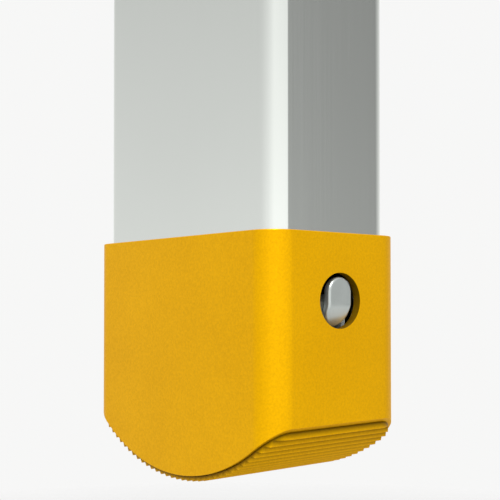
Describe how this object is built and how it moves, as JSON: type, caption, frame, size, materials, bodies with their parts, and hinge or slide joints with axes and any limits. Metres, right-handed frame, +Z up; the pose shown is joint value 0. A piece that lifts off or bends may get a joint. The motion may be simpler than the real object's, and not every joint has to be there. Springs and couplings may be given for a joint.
{
  "type": "retractable bollard",
  "caption": "Telescopic retractable bollard: a yellow rocker shoe with a ribbed tread and a thumb lever carries a column from which a gas-strut mast rises.",
  "frame": {"origin": "middle of the footprint, at the lowest ribs of the rocker tread", "axes": "+Z up along the column, +X across the wide face towards the thumb lever, +Y along the depth towards the mounting face"},
  "size_m": [0.15, 0.083, 0.6335],
  "materials": {
    "yellow_coat": "fine-textured powder coat",
    "column_paint": "satin paint",
    "chrome": "polished",
    "steel": "zinc plated",
    "bright_steel": "ground and plated",
    "dark_steel": "dark electro-coat",
    "black_paint": "gloss black",
    "guide_plastic": "matt",
    "aluminium": "milled",
    "mast_aluminium": "anodised",
    "rubber": "matt",
    "reflective": "retroreflective film"
  },
  "bodies": {
    "base": {"shoe_shell": "yellow_coat", "tread_pad": "yellow_coat", "tread_screws": "steel", "outer_column": "column_paint", "mount_inserts": "steel", "column_screws": "steel", "lever_pin": "steel", "lever_bracket": "dark_steel", "bracket_screws": "steel", "rocker_pin": "steel", "return_spring": "steel", "strut_stand": "dark_steel", "stand_bolts": "steel", "strut_rod": "bright_steel", "strut_piston": "steel", "strut_nuts": "steel", "column_guide": "guide_plastic", "bump_stop": "rubber", "top_collar": "yellow_coat", "collar_screws": "steel", "wiper_seal": "rubber"},
    "mast": {"mast_tube": "mast_aluminium", "foot_guide": "guide_plastic", "foot_rivets": "steel", "strut_cylinder": "black_paint", "strut_gland": "guide_plastic", "cross_plate": "aluminium", "plate_screws": "steel", "strut_top_nut": "steel", "reflective_bands": "reflective", "head_cap": "yellow_coat", "head_bolts": "steel", "handle_pins": "steel"},
    "lever": {"release_lever": "chrome"},
    "rocker": {"release_rocker": "steel"},
    "pin": {"release_pin": "bright_steel"},
    "handle": {"lift_handle": "chrome"}
  },
  "joints": [
    {"name": "mast_slide", "type": "slide", "parent": "base", "child": "mast", "axis": [0, 0, 1], "range_m": [0, 0.36]},
    {"name": "lever_press", "type": "hinge", "parent": "base", "child": "lever", "pos_m": [0.0655, 0, 0.08408], "axis": [0, -1, 0], "range_deg": [0, 10], "stiffness_Nm_per_rad": 0.5, "springref_deg": -11.46},
    {"name": "rocker_tilt", "type": "hinge", "parent": "base", "child": "rocker", "pos_m": [0.03, 0, 0.07883], "axis": [0, 1, 0], "range_deg": [0, 6.53]},
    {"name": "pin_lift", "type": "slide", "parent": "base", "child": "pin", "axis": [0, 0, 1], "range_m": [0, 0.00342], "deforming": ["return_spring"]},
    {"name": "handle_raise", "type": "hinge", "parent": "mast", "child": "handle", "pos_m": [0, 0.01, 0.62348], "axis": [-1, 0, 0], "range_deg": [0, 90]}
  ],
  "couplings": [
    {"joint": "rocker_tilt", "follows": "lever_press", "ratio": 0.65116},
    {"joint": "pin_lift", "follows": "lever_press", "m_per_rad": 0.019535}
  ]
}
